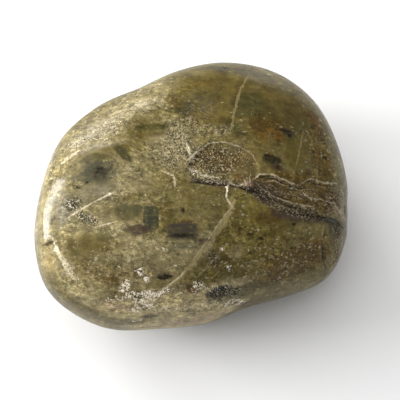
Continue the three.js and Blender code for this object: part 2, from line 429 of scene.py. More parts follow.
        (-14.8, -8.6, 1, 1.3, -15, 1.2),
        (-13.4, -10.2, 1.6, 1.6, 0, 0.7),
    ],
    "polished": [  # the brightest polish
        (-17.2, -4, 2.4, 7, 0, 1.2),
        (-15.6, -9.8, 1.4, 2.6, 25, 1),
    ],
}
# Two inclusions are cut off square.
squareCut = {
    "slab": [(-4.85, -6.1, 0.85, 1.4, 0, 1.2)],
    "block": [(-1.2, -7.62, 1.75, 0.92, 0, 1.2)],
}
patchFade = (0.4, 1.6)  # of a patch's half sizes: at full strength inside the first, gone past the second


def patchField(group, squareness=2):
    field = np.zeros(len(places))
    for x, y, halfLength, halfWidth, turn, strength in group:
        centre, outward = onTop(x, y)
        along = np.array([math.cos(math.radians(turn)), math.sin(math.radians(turn)), 0])
        along -= outward * (along @ outward)
        along /= np.linalg.norm(along)
        away = places - centre
        sides = [abs(away @ along) / halfLength, abs(away @ np.cross(outward, along)) / halfWidth]
        reach = (sides[0] ** squareness + sides[1] ** squareness) ** (1 / squareness)
        reach = np.hypot(reach, away @ outward / (halfLength + halfWidth))
        field = np.maximum(field, strength * fade(reach, *patchFade))
    return field


for name, group in patches.items():
    keepField(name, patchField(group))
for name, group in squareCut.items():
    keepField(name, patchField(group, squareness=5))
print(f"patches: {sum(map(len, patches.values()))}")

# Lines on the upper side: half width in mm, strength, then the points of the plan that they pass.
veins = {
    "mainVein": (0.5, 0.85, [(4.7, -4.1), (3.4, -6.4), (1.8, -8.7), (0.1, -11), (-1.2, -12.2)]),
    "mainVeinFoot": (0.22, 1, [(1, -9.9), (0, -11.1), (-2.1, -13), (-4.1, -14.3), (-6.2, -15.9)]),
    "sideVein": (0.14, 0.5, [(3.6, -9), (2.2, -10.6), (0.6, -12.4)]),
    "upperVein": (0.15, 0.55, [(6.6, 12.9), (6.2, 11.8), (5.6, 10.3), (5, 7.6), (4.7, 6.1), (4.4, 4.6)]),
    "faintScratch": (0.12, 0.6, [(-9.5, -3.1), (-7.1, -1.8), (-5.3, -1), (-3.7, -0.3)]),
    "foldOne": (0.2, 0.5, [(-13.4, 0.9), (-11.8, 1.9), (-9.8, 1.6), (-8.4, 0.6)]),
    "foldTwo": (0.16, 0.5, [(-9.6, 2.3), (-8.2, 0.9), (-7.2, 0.6)]),
    "windowLine": (0.1, 0.6, [(13.2, 5.9), (12.7, 3.5), (12.2, 1.1)]),
    "uprightLine": (0.12, 0.5, [(14.8, 2.1), (14.7, -0.2)]),
}
paleLinesAndHighlights = {
    # this line and the next are painted highlights: light reflected along the crease at the left edge
    "frontGlint": (0.27, 1, [(-16.1, -9), (-15.8, -9.8), (-15.3, -10.7), (-14.9, -11.4)]),
    "frontGlintFlare": (0.8, 0.7, [(-15.3, -10.6), (-14.8, -11.5), (-14.2, -12.3)]),
    "veinEdge": (0.07, 0.6, [(4.3, -4.8), (3, -6.5), (1.6, -8.6), (0.2, -10.5)]),
    "veinFootCore": (0.15, 1, [(-1.2, -12.2), (-2.9, -13.6), (-4.4, -14.5), (-6.2, -15.9)]),
    "veinHead": (0.13, 1, [(4.1, -1.7), (3.9, -2.8), (3.9, -3.4), (4.4, -4.2)]),
    "longScratch": (0.11, 1, [(-14.6, -5.9), (-12.3, -4.7), (-9.7, -3.2)]),
    "shortScratch": (0.1, 0.9, [(-11.1, -7.2), (-9.4, -6.7)]),
    "scratchSpur": (0.07, 0.6, [(-14.4, -4.6), (-13.4, -5.2)]),
    "strokeUp": (0.18, 1.5, [(-0.7, 2.9), (-0.4, 1.7)]),
    "strokeAcross": (0.15, 1.5, [(-0.5, 1.2), (0.7, 2.3)]),
    "strokeFar": (0.12, 0.5, [(-1.3, 4.3), (-1.2, 3.4)]),
    "strokeLow": (0.14, 0.8, [(-2.2, -1), (-2.1, -1.9)]),
    "strokeLeft": (0.12, 0.6, [(-3.4, -0.4), (-2.2, -0.9)]),
    "archLeft": (0.11, 1, [(-0.5, 0.7), (0.7, 2.2), (1.8, 3.1), (3.2, 3.4)]),
    "archTop": (0.1, 0.45, [(3, 3.4), (4.4, 3.2), (5.6, 2.8)]),
    "archRight": (0.09, 0.2, [(5.4, 2.9), (6.9, 1.9), (7.6, 0.8)]),
    # this line and the next are painted highlights along the shoulder crease; the next is partly pale grains
    # too
    "shoulderGlint": (0.24, 1, [(-15.2, 1), (-14.3, 1.6), (-13.6, 2.1)]),
    "shoulderLine": (0.18, 0.25, [(-13.3, 2.2), (-11.9, 2.5), (-10.2, 3.2)]),
    "shoulderEdge": (0.07, 0.4, [(-16, 0.2), (-16.4, -1.2), (-16.6, -2.6)]),
    "upperLedge": (0.11, 0.75, [(7.2, -1), (7.9, -0.5), (9.2, -0.4), (10.4, -0.7), (11.9, -1.2),
                                (12.6, -1.2)]),
    "upperLedgeTwo": (0.07, 0.5, [(8.4, -1.2), (9.6, -1), (11, -1.5), (12.8, -1.7), (14, -1.4)]),
    "rightLedge": (0.1, 0.65, [(12.8, -1), (14, -0.2), (15.7, -0.1), (17.2, 0.3)]),
    "middleLedge": (0.08, 0.6, [(8.6, -2.2), (9.6, -2.8), (11.1, -3.3), (12.6, -3.4), (14.2, -3.5)]),
    "steepLedge": (0.06, 0.45, [(7.6, -1.6), (8.6, -2.4), (9.8, -3.6), (11, -4.2)]),
    "lowerLedge": (0.1, 0.7, [(13.2, -2.1), (14, -2.5), (15.7, -2.3), (17, -2.4), (18.2, -2.5)]),
    "endLedge": (0.1, 0.7, [(16.4, -1.6), (17.2, -2.4), (18.2, -3.2)]),
    "leftCrack": (0.15, 0.8, [(-0.6, 0.1), (0.5, -0.4), (1.5, -0.7), (2.9, -1)]),
    "leftCrackTwo": (0.08, 0.6, [(1.6, -1.3), (2.8, -1.5), (4.6, -1.7), (6, -1.9)]),
    "spotStrokeOne": (0.07, 0.6, [(6, -1), (6.25, -2.1)]),
    "spotStrokeTwo": (0.07, 0.5, [(6.75, -0.5), (6.65, -1.9)]),
}
# Dark lines: the two shade lines and the three under the ledges are painted shade on the faces of the steps
# that turn from the light; the others are cracks and dark lines of the stone.
darkLines = {
    "leftShade": (0.18, 0.8, [(0, -1.7), (1.4, -1.8), (3.2, -1.9), (5.3, -2)]),
    "middleShade": (0.16, 1, [(5.8, -2.3), (7.2, -2.5), (8.2, -3.3)]),
    "shadeUnderUpperLedge": (0.1, 0.8, [(8, -0.8), (9.6, -0.8), (10.4, -1.1), (11.9, -1.6), (12.8, -1.5)]),
    "shadeUnderRightLedge": (0.08, 0.6, [(13.6, -0.6), (15.4, -0.5), (17, -0.2)]),
    "shadeUnderMiddleLedge": (0.11, 0.8, [(8.6, -2.8), (9.4, -3.3), (11.1, -3.8), (12.8, -3.9)]),
    "rightCrack": (0.2, 0.9, [(12.1, -4.8), (13.2, -4.6), (15.3, -4.4), (16.8, -4.2), (17.9, -4.5)]),
    "hairCrack": (0.09, 1, [(15.6, -6), (15.4, -7.4), (15.6, -8.6), (15.9, -9.2)]),
    "edgeNotch": (0.12, 0.2, [(-17.8, -8.6), (-17.1, -8.4), (-16.5, -8.1)]),
    "underFrontCrease": (0.08, 0.35, [(-15.6, -8.7), (-15.3, -9.5), (-14.9, -10.2), (-14.5, -10.8)]),
}
creases = {  # the stone falls away from these to the left as one walks along them
    "frontCrease": (0.7, 1, [(-14.1, -12.6), (-14.75, -11.5), (-15.3, -10.6), (-15.85, -9.6),
                               (-16.2, -8.7)]),
    "shoulderCrease": (0.6, 0.5, [(-14.8, 1.3), (-14.3, 1.5), (-13.3, 2.1), (-11.8, 2.5), (-10.2, 3.2)]),
}
# Where a flake came off: the brink of the scar, once round in the plan.
scarBrink = [(-0.5, 0.5), (0.7, 2.3), (2.3, 3.4), (3.9, 3.3), (5.3, 3), (6.4, 2.3), (7.3, 1.5), (7.7, 0.6),
             (8.1, -0.4), (9.3, -0.4), (12.1, -1.2), (13.9, -0.2), (17.1, 0.3), (18.3, 0.6), (18.3, -2.9),
             (16.8, -4.2), (14.8, -4.5), (12.9, -4.5), (10.8, -4.2), (9, -3.7), (7.6, -3.1), (6.2, -2.6),
             (5, -2.2), (3.4, -1.9), (1.4, -1.8), (0.1, -1.4), (-0.6, -0.4)]


def smoothPath(knots, closed=False, step=0.15):  # a curve through the knots, cut into steps of about 0.15 mm
    knots = np.array(knots, float)
    before = np.roll(knots, 1, 0) if closed else np.vstack([2 * knots[0] - knots[1], knots[:-1]])
    after = np.roll(knots, -1, 0) if closed else np.vstack([knots[1:], 2 * knots[-1] - knots[-2]])
    slopes = (after - before) / 2
    path = []
    for here in range(len(knots) - (not closed)):
        there = (here + 1) % len(knots)
        cuts = max(2, round(np.linalg.norm(knots[there] - knots[here]) / step))
        t = np.linspace(0, 1, cuts, endpoint=False)[:, None]
        path.append((2 * t**3 - 3 * t**2 + 1) * knots[here] + (t**3 - 2 * t**2 + t) * slopes[here]
                    + (3 * t**2 - 2 * t**3) * knots[there] + (t**3 - t**2) * slopes[there])
    return np.vstack(path + ([] if closed else [knots[-1:]]))


def nearestOn(samples):  # for every point of the skin, which sample is nearest and how far it is
    tree = KDTree(len(samples))
    for index, sample in enumerate(samples):
        tree.insert(sample, index)
    tree.balance()
    found = [tree.find(place)[1:] for place in places.tolist()]
    return np.array([index for index, _ in found]), np.array([distance for _, distance in found])


# Fields of one kind of line: distance across the nearest line, distance from it, its half width and tone.
def layLines(kind, lines, thinEnd=0.4):
    laid, outs, courses, halves, tones = [], [], [], [], []
    for half, tone, knots in lines.values():
        path = smoothPath(knots)
        tops = [onTop(x, y) for x, y in path]
        laid += [top for top, _ in tops]
        outs += [out for _, out in tops]
        courses += list(np.gradient(np.array([top for top, _ in tops]), axis=0))
        swelling = np.sin(np.linspace(0, math.pi, len(path))) ** 0.4  # quick at the ends, full in the middle
        halves += list(half * (thinEnd + (1 - thinEnd) * swelling))
        tones += [tone] * len(path)
    nearest, away = nearestOn(laid)
    sides = np.cross(np.array(outs), np.array(courses))
    sides /= np.linalg.norm(sides, axis=1)[:, None]
    across = ((places - np.array(laid)[nearest]) * sides[nearest]).sum(1)
    keepField(kind + "Across", across)
    keepField(kind + "Away", away)
    keepField(kind + "Half", np.array(halves)[nearest])
    keepField(kind + "Tone", np.array(tones)[nearest])


def insidePlan(outline):  # which points of the skin lie inside a closed line of the plan
    x, y = places[:, 0], places[:, 1]
    inside = np.zeros(len(places), bool)
    for (ax, ay), (bx, by) in zip(outline, np.roll(outline, -1, 0)):
        if ay != by:
            inside ^= ((ay > y) != (by > y)) & (x < (bx - ax) * (y - ay) / (by - ay) + ax)
    return inside


layLines("vein", veins)
layLines("pale", paleLinesAndHighlights)
layLines("dark", darkLines)
layLines("crease", creases)
brink = smoothPath(scarBrink, closed=True)
_, fromBrink = nearestOn([onTop(x, y)[0] for x, y in brink])
inScar = insidePlan(brink) & (places[:, 2] > markedAbove)
keepField("scar", np.where(inScar, fromBrink, -fromBrink))  # mm from the brink, more than nought inside
print(f"lines: {len(veins)} veins, {len(paleLinesAndHighlights)} pale, {len(darkLines)} dark, {len(creases)} creases")


# A node of that kind with its settings; each input is a socket to link from or a plain value.
def addNode(tree, kind, inputs=None, **settings):
    node = tree.nodes.new(kind)
    for name, value in settings.items():
        setattr(node, name, value)
    for name, value in (inputs or {}).items():
        if isinstance(value, bpy.types.NodeSocket):
            tree.links.new(value, node.inputs[name])
        else:
            node.inputs[name].default_value = value
    return node


def calc(tree, operation, *values, clamp=False):
    inputs = dict(enumerate(values))
    return addNode(tree, "ShaderNodeMath", inputs, operation=operation, use_clamp=clamp).outputs[0]


def foldValues(tree, operation, values):  # all the values added up, multiplied together and so on
    folded = values[0]
    for value in values[1:]:
        folded = calc(tree, operation, folded, value)
    return folded


def product(tree, *factors):
    return foldValues(tree, "MULTIPLY", factors)


def scaled(tree, vector, by):
    return addNode(tree, "ShaderNodeVectorMath", {0: vector, "Scale": by}, operation="SCALE").outputs[0]


def ease(tree, value, low, high, start=0.0, end=1.0):  # start at low, easing to end at high
    inputs = {"Value": value, "From Min": low, "From Max": high, "To Min": start, "To Max": end}
    return addNode(tree, "ShaderNodeMapRange", inputs, interpolation_type="SMOOTHSTEP").outputs[0]


def noise(tree, vector, scale, detail=2.0, roughness=0.5, output=0):
    inputs = {"Vector": vector, "Scale": scale, "Detail": detail, "Roughness": roughness}
    return addNode(tree, "ShaderNodeTexNoise", inputs).outputs[output]


def mixColour(tree, factor, under, over, blend="MIX"):
    inputs = {0: factor, 6: under, 7: over}
    return addNode(tree, "ShaderNodeMix", inputs, data_type="RGBA", blend_type=blend).outputs[2]


def newGroup(name, numbers, outputs):  # a shader group that works on a place in mm: its tree and its sockets
    tree = bpy.data.node_groups.new(name, "ShaderNodeTree")
    tree.interface.new_socket("Place", in_out="INPUT", socket_type="NodeSocketVector")
    for socket, value in numbers.items():
        made = tree.interface.new_socket(socket, in_out="INPUT", socket_type="NodeSocketFloat")
        made.default_value = value
    for socket in outputs:
        tree.interface.new_socket(socket, in_out="OUTPUT", socket_type="NodeSocketFloat")
    return tree, tree.nodes.new("NodeGroupInput").outputs, tree.nodes.new("NodeGroupOutput").inputs


def useGroup(tree, group, inputs, output=0):
    return addNode(tree, "ShaderNodeGroup", inputs, node_tree=group).outputs[output]


def readField(tree, name):
    if tree.bl_idname == "GeometryNodeTree":
        return addNode(tree, "GeometryNodeInputNamedAttribute", {"Name": name}, data_type="FLOAT").outputs[0]
    return addNode(tree, "ShaderNodeAttribute", attribute_name=name).outputs["Fac"]


def turnedAndSqueezed(tree, place, turn, scale):
    turned = addNode(tree, "ShaderNodeVectorRotate", {"Vector": place, "Angle": math.radians(turn)},
                     rotation_type="Z_AXIS").outputs[0]
    return addNode(tree, "ShaderNodeVectorMath", {0: turned, 1: scale}, operation="MULTIPLY").outputs[0]


# The thin layers of the stone, bared where the flake came off.
layers = {
    "turn": 14,  # degrees from +X
    "squeeze": (0.17, 0.85, 0.45),
    "number": 5.5,
    "from": (6.8, 8.2),  # mm along X where they come into sight
}


def layerLevel(tree, place):  # a new layer begins at each whole number
    squeezed = turnedAndSqueezed(tree, place, layers["turn"], layers["squeeze"])
    return product(tree, noise(tree, squeezed, 1, detail=3, roughness=0.6), layers["number"])


def baredLayers(tree, place):  # 1 where they show
    along = addNode(tree, "ShaderNodeSeparateXYZ", {0: place}).outputs[0]
    return product(tree, ease(tree, readField(tree, "scar"), 0, 0.4), ease(tree, along, *layers["from"]))


# Low relief, laid over the skin along its normals.
relief = {
    "Ripple Height": 0.03 * mm,  # how far the polish is from a true curve
    "Ripple Size": 3.0 * mm,
    "Grain Height": 0.07 * mm,  # of the crushed, unpolished patches
    "Grain Size": 0.42 * mm,
    "Pit Depth": 0.07 * mm,
    "Pit Spacing": 1.7 * mm,
    "Crack Depth": 0.12 * mm,
    "Vein Depth": 0.03 * mm,
    "Crease Drop": 0.1 * mm,
    "Brink Drop": 0.1 * mm,  # how much steeper the brink of the scar is than the smooth skin shows it
    "Layer Height": 0.06 * mm,
}
seed = 7


def reliefTree():
    tree = bpy.data.node_groups.new("pebbleRelief", "GeometryNodeTree")
    tree.interface.new_socket("Geometry", in_out="INPUT", socket_type="NodeSocketGeometry")
    for name, value in relief.items():
        tree.interface.new_socket(name, in_out="INPUT", socket_type="NodeSocketFloat").default_value = value
    tree.interface.new_socket("Seed", in_out="INPUT", socket_type="NodeSocketInt").default_value = seed
    tree.interface.new_socket("Stone Material", in_out="INPUT", socket_type="NodeSocketMaterial")
    tree.interface.new_socket("Geometry", in_out="OUTPUT", socket_type="NodeSocketGeometry")
    given = tree.nodes.new("NodeGroupInput").outputs
    here = tree.nodes.new("GeometryNodeInputPosition").outputs[0]
    inMm = scaled(tree, here, 1 / mm)

    def times(*factors):
        return product(tree, *factors)

    def seededNoise(size, shift):
        inputs = {"Vector": here, "W": calc(tree, "ADD", given["Seed"], shift), "Detail": 1,
                  "Scale": calc(tree, "DIVIDE", 1, size)}
        return addNode(tree, "ShaderNodeTexNoise", inputs, noise_dimensions="4D").outputs[0]

    def upAndDown(value, height):
        return times(calc(tree, "SUBTRACT", value, 0.5), height)

    def groove(kind, depth):  # a round-bottomed groove along the lines of one kind
        half = calc(tree, "ADD", readField(tree, kind + "Half"), 0.2)
        bottom = ease(tree, readField(tree, kind + "Away"), half, 0)
        return times(bottom, readField(tree, kind + "Tone"), depth, -1)

    def pits():
        scale = calc(tree, "DIVIDE", 1, given["Pit Spacing"])
        inputs = {"Vector": here, "W": given["Seed"], "Scale": scale}
        cells = addNode(tree, "ShaderNodeTexVoronoi", inputs, voronoi_dimensions="4D")
        return times(ease(tree, cells.outputs["Distance"], 0.32, 0.08), given["Pit Depth"], -1)

    def creaseFall():
        half = readField(tree, "creaseHalf")
        beside = ease(tree, readField(tree, "creaseAcross"), 0, half)
        near = ease(tree, readField(tree, "creaseAway"), times(half, 3), half)
        return times(beside, near, readField(tree, "creaseTone"), given["Crease Drop"], -1)

    def brinkFall():
        scar = readField(tree, "scar")
        return times(ease(tree, scar, 0, 0.25), ease(tree, scar, 1.6, 0.3), given["Brink Drop"], -1)

    def ledges():
        level = layerLevel(tree, inMm)
        riser = ease(tree, calc(tree, "FRACT", level), 0.7, 1)
        step = calc(tree, "ADD", calc(tree, "FLOOR", level), riser)
        return times(calc(tree, "SUBTRACT", step, 2.8), given["Layer Height"], baredLayers(tree, inMm))

    ripple = upAndDown(seededNoise(given["Ripple Size"], 0), given["Ripple Height"])
    grain = upAndDown(seededNoise(given["Grain Size"], 5), given["Grain Height"])
    height = foldValues(tree, "ADD", [
        ripple,
        times(grain, readField(tree, "rough")),
        pits(),
        groove("dark", given["Crack Depth"]),
        groove("pale", given["Vein Depth"]),
        groove("vein", given["Vein Depth"]),
        creaseFall(),
        brinkFall(),
        ledges(),
    ])
    aboveRest = addNode(tree, "ShaderNodeSeparateXYZ", {0: inMm}).outputs[2]
    height = times(height, ease(tree, aboveRest, 0.1, 1.2))  # it lies on a true flat
    lift = scaled(tree, tree.nodes.new("GeometryNodeInputNormal").outputs[0], height)
    moved = addNode(tree, "GeometryNodeSetPosition", {"Geometry": given["Geometry"], "Offset": lift})
    real = addNode(tree, "GeometryNodeRealizeInstances", {"Geometry": moved.outputs[0]})
    dressed = addNode(tree, "GeometryNodeSetMaterial",
                      {"Geometry": real.outputs[0], "Material": given["Stone Material"]})
    tree.links.new(dressed.outputs[0], tree.nodes.new("NodeGroupOutput").inputs[0])
    return tree


def patchGroup():  # a patch with a ragged edge, from a soft field
    numbers = {"Field": 0, "Per Mm": 1, "Raggedness": 0.5, "Softness": 0.1}
    tree, given, out = newGroup("raggedPatch", numbers, ["Mask"])
    edge = calc(tree, "SUBTRACT", noise(tree, given["Place"], given["Per Mm"], detail=4, roughness=0.65), 0.5)
    field = calc(tree, "ADD", given["Field"], product(tree, edge, given["Raggedness"]))
    low = calc(tree, "SUBTRACT", 0.5, given["Softness"])
    high = calc(tree, "ADD", 0.5, given["Softness"])
    tree.links.new(ease(tree, field, low, high), out["Mask"])
    return tree


def fleckGroup():  # scattered flecks of uneven size and strength; Share is how many of the cells carry one
    tree, given, out = newGroup("flecks", {"Per Mm": 2, "Radius": 0.3, "Share": 0.3}, ["Mask"])
    wobble = scaled(tree, noise(tree, given["Place"], 4, output=1), 0.8)
    moved = addNode(tree, "ShaderNodeVectorMath", {0: given["Place"], 1: wobble}, operation="ADD").outputs[0]
    cells = addNode(tree, "ShaderNodeTexVoronoi", {"Vector": moved, "Scale": given["Per Mm"]})
    chance = addNode(tree, "ShaderNodeSeparateColor", {0: cells.outputs["Color"]}).outputs
    radius = product(tree, given["Radius"], calc(tree, "ADD", 0.4, chance[1]))
    fleck = ease(tree, cells.outputs["Distance"], radius, product(tree, radius, 0.4))
    carried = calc(tree, "LESS_THAN", chance[0], given["Share"])
    strength = product(tree, carried, calc(tree, "ADD", 0.25, product(tree, chance[2], 0.75)))
    tree.links.new(product(tree, fleck, strength), out["Mask"])
    return tree


def lineGroup():  # a crisp, slightly wandering line where Across is nought
    numbers = {"Across": 0, "Away": 0, "Half": 0.1, "Tone": 1, "Wander": 0.1, "Gaps": 0.5}
    tree, given, out = newGroup("lineMark", numbers, ["Mask"])
    place, half = given["Place"], given["Half"]
    slow = calc(tree, "SUBTRACT", noise(tree, place, 0.9, detail=2), 0.5)
    quick = calc(tree, "SUBTRACT", noise(tree, place, 4, detail=2), 0.5)
    wander = product(tree, calc(tree, "ADD", slow, product(tree, quick, 0.7)), given["Wander"])
    off = calc(tree, "ABSOLUTE", calc(tree, "ADD", given["Across"], wander))
    swell = product(tree, half, ease(tree, noise(tree, place, 2.2), 0.3, 0.7, 0.5, 1.5))
    line = ease(tree, off, product(tree, swell, 1.4), product(tree, swell, 0.4))
    near = ease(tree, given["Away"], calc(tree, "ADD", half, 0.4), calc(tree, "ADD", half, 0.25))
    gap = product(tree, ease(tree, noise(tree, place, 2.8, detail=3), 0.54, 0.38), given["Gaps"])
    strength = product(tree, given["Tone"], calc(tree, "SUBTRACT", 1, gap))
    tree.links.new(product(tree, line, near, strength), out["Mask"])
    return tree


stone = {
    "colours": {
        "olive": (0.172, 0.138, 0.054),
        "oliveDeep": (0.110, 0.084, 0.023),
        "khaki": (0.224, 0.184, 0.089),
        "sand": (0.310, 0.256, 0.128),
        # the pale grey of the painted sheen
        "paintedSheen": (0.300, 0.270, 0.200),
        "moss": (0.098, 0.071, 0.017),
        "lime": (0.122, 0.093, 0.022),
        "bottle": (0.055, 0.046, 0.013),
        "umber": (0.090, 0.056, 0.011),
        "green": (0.092, 0.084, 0.028),
        "ochre": (0.122, 0.063, 0.013),
        # the warm colour of the painted glow at the lower-left edge
        "paintedGlow": (0.400, 0.300, 0.130),
        "beige": (0.410, 0.335, 0.165),
        "pink": (0.310, 0.205, 0.140),
        "slate": (0.056, 0.058, 0.038),
        "teal": (0.018, 0.025, 0.016),
        "slab": (0.031, 0.034, 0.021),
        "plum": (0.046, 0.030, 0.022),
        "block": (0.040, 0.034, 0.024),
        "ink": (0.015, 0.011, 0.006),
        "dust": (0.50, 0.44, 0.28),
        "vein": (0.31, 0.25, 0.115),
        "ledge": (0.30, 0.23, 0.13),
        # also the colour of the painted highlights and glints
        "pale": (0.66, 0.57, 0.39),
        "crush": (0.050, 0.037, 0.022),
        "frost": (0.92, 0.82, 0.65),
        # the colour of the painted sparkles
        "glint": (0.64, 0.53, 0.31),
    },
    "edges": {  # how each patch ends: detail per mm, raggedness, softness
        "khaki": (0.35, 0.8, 0.35),
        "sand": (0.5, 0.8, 0.35),
        "paintedSheen": (0.7, 1.0, 0.45),
        "moss": (0.5, 0.9, 0.35),
        "lime": (0.7, 0.9, 0.3),
        "bottle": (0.8, 1.2, 0.4),
        "umber": (0.6, 1.0, 0.3),
        "beige": (0.8, 1.0, 0.4),
        "paintedGlow": (0.9, 0.8, 0.4),
        "ochre": (0.9, 1.0, 0.4),
        "pink": (1.2, 1.0, 0.4),
        "slate": (0.9, 1.1, 0.5),
        "teal": (1.4, 1.2, 0.35),
        "slab": (1.2, 0.3, 0.25),
        "plum": (1.3, 1.3, 0.4),
        "block": (1.4, 0.4, 0.35),
        "ink": (2.6, 1.6, 0.3),
    },
    # the patches of the ground from the lowest up, and the inclusions with how solid each is
    "ground": ("khaki", "sand", "paintedSheen", "beige", "paintedGlow", "moss", "lime", "bottle", "umber", "ochre", "pink"),
    "inclusions": {"slate": 0.85, "teal": 0.9, "slab": 0.95, "plum": 0.85, "block": 0.95, "ink": 0.95},
    "noises": {  # per mm, detail, roughness
        "clouds": (0.22, 5, 0.6),
        "quiet": (0.42, 3, 0.6),
        "tint": (0.65, 4, 0.6),
        "bend": (0.8, 3, 0.5),
        "crushed": (0.8, 5, 0.7),
        "mottle": (0.9, 4, 0.75),
        "clusters": (1.5, 3, 0.7),
        "torn": (1.7, 3, 0.7),
        "streaks": (2.2, 2, 0.85),
        "grain": (4.3, 2, 0.9),
    },
    "piecesPerMm": 0.5,
    "flecks": {  # cells per mm, and the radius of a fleck in cells
        "dust": (2.7, 0.34),
        "fleck": (1.9, 0.4),
        "glint": (2.3, 0.27),
        "speck": (1.6, 0.2),
    },
    "strength": {  # how far each mark covers what lies under it
        "patch": 0.9,
        "tint": 0.5,
        "salt": 0.55,
        "pepper": 0.9,
        "layerEdge": 0.55,
        "layerFootShade": 0.7,
        "dust": 0.6,
        "fleck": 0.7,
        "glint": 0.9,
        "speck": 0.8,
        "gap": 0.7,
    },
    "combed": (8, (0.84, 1.18, 1.0)),  # the whole stone is faintly layered: turn in degrees, and squeeze
    "polish": 0.42,
    "brightPolish": 1.0,
    "polishRoughness": 0.13,
    "polishIor": 1.45,
    "roughness": 0.5,
    "dullRoughness": 0.75,
    "underPolish": 0.05,
    "bumpHeight": 0.04 * mm,
}


def opalMaterial():
    material = bpy.data.materials.new("tumbledGreenOpal")
    material.use_nodes = True
    tree = material.node_tree
    tree.nodes.clear()
    patch, flecks, line = patchGroup(), fleckGroup(), lineGroup()
    here = scaled(tree, addNode(tree, "ShaderNodeTexCoord").outputs["Object"], 1 / mm)
    combed = turnedAndSqueezed(tree, here, *stone["combed"])
    strong = stone["strength"]

    def times(*factors):
        return product(tree, *factors)

    def most(*masks):
        return foldValues(tree, "MAXIMUM", masks)

    def without(mask):
        return calc(tree, "SUBTRACT", 1, mask)

    def laidOn(colour, mask, name):  # the named colour over the one below, where the mask is
        return mixColour(tree, mask, colour, (*stone["colours"][name], 1))

    def shaded(colour, shade):
        grey = addNode(tree, "ShaderNodeCombineColor", {0: shade, 1: shade, 2: shade}).outputs[0]
        return mixColour(tree, 1, colour, grey, "MULTIPLY")

    def varied(kind, place=here, output=0):
        return noise(tree, place, *stone["noises"][kind], output)

    def patchMask(name):
        perMm, raggedness, softness = stone["edges"][name]
        return useGroup(tree, patch, {"Place": here, "Field": readField(tree, name), "Per Mm": perMm,
                                      "Raggedness": raggedness, "Softness": softness})

    def sprinkle(kind, share, place=combed):
        perMm, radius = stone["flecks"][kind]
        return useGroup(tree, flecks, {"Place": place, "Per Mm": perMm, "Radius": radius, "Share": share})

    def drawn(kind, wander, gaps):
        fields = {part: readField(tree, kind + part) for part in ("Across", "Away", "Half", "Tone")}
        return useGroup(tree, line, {"Place": here, "Wander": wander, "Gaps": gaps, **fields})

    # the ground: olive clouds, patches of other tones that partly paint light and shade, lighter towards -x
    # and -y and darker towards +x and +y, and angular pieces a little lighter or darker
    clouds = ease(tree, varied("clouds"), 0.38, 0.62)
    colour = laidOn((*stone["colours"]["oliveDeep"], 1), clouds, "olive")
    for name in stone["ground"]:
        colour = laidOn(colour, times(patchMask(name), strong["patch"]), name)
    tint = varied("tint")
    colour = laidOn(colour, ease(tree, tint, 0.54, 0.7, 0, strong["tint"]), "green")
    colour = laidOn(colour, ease(tree, tint, 0.44, 0.28, 0, strong["tint"]), "umber")
    bend = scaled(tree, varied("bend", output=1), 1.4)
    bent = addNode(tree, "ShaderNodeVectorMath", {0: here, 1: bend}, operation="ADD").outputs[0]
    pieces = addNode(tree, "ShaderNodeTexVoronoi", {"Vector": bent, "Scale": stone["piecesPerMm"]})
    pieceTone = addNode(tree, "ShaderNodeSeparateColor", {0: pieces.outputs["Color"]}).outputs[0]

    # grain under the polish, stronger in some places than in others
    calm = readField(tree, "calm")
    quiet = times(ease(tree, varied("quiet"), 0.36, 0.6, 0.45, 1), ease(tree, calm, 0.2, 0.9, 1, 0.2))
    lively = times(calc(tree, "ADD", readField(tree, "lively"), 0.38, clamp=True), quiet)
    mottle = ease(tree, varied("mottle", combed), 0.3, 0.7, 0.7, 1.3)
    speckle = varied("streaks", combed)
    light = times(ease(tree, speckle, 0.5, 0.72), lively, 1.3)
    dim = times(ease(tree, speckle, 0.5, 0.28), lively, 0.7)
    shade = times(mottle, calc(tree, "SUBTRACT", calc(tree, "ADD", light, 1), dim))
    colour = shaded(colour, times(shade, ease(tree, pieceTone, 0, 1, 0.84, 1.14)))
    colour = laidOn(colour, times(drawn("vein", 0.3, 0.3), ease(tree, speckle, 0.25, 0.55, 0.7, 1)), "vein")

    # dark inclusions
    included = 0
    torn = varied("torn")
    for name, depth in stone["inclusions"].items():
        mask = times(patchMask(name), ease(tree, torn, 0.7, 0.4, 0.6 * depth, depth))
        colour = laidOn(colour, mask, name)
        included = most(included, mask)
    clear = ease(tree, included, 0.1, 0.7, 1, 0)
    lively = times(lively, clear)

    # crushed patches that took no polish; their pale grains are partly the stone's own and partly painted
    # glints of light
    ragged = times(varied("crushed"), 1.4)
    crushed = ease(tree, calc(tree, "ADD", readField(tree, "rough"), ragged), 0.85, 1.6)
    grain = varied("grain")
    salt = times(ease(tree, grain, 0.52, 0.62), crushed)
    pepper = times(ease(tree, grain, 0.49, 0.38), crushed)
    colour = laidOn(colour, times(pepper, strong["pepper"]), "crush")
    colour = laidOn(colour, times(salt, strong["salt"]), "pale")

    # the bared layers: a pale edge on each, and painted shade at its foot, below the step
    layer = calc(tree, "FRACT", layerLevel(tree, here))
    bared = times(baredLayers(tree, here), ease(tree, torn, 0.35, 0.55, 0.3, 1))
    foot = calc(tree, "ABSOLUTE", calc(tree, "SUBTRACT", layer, 0.72))
    colour = laidOn(colour, times(ease(tree, foot, 0.2, 0.05), bared, strong["layerFootShade"]), "crush")
    colour = laidOn(colour, times(ease(tree, layer, 0.2, 0.06), bared, strong["layerEdge"]), "ledge")

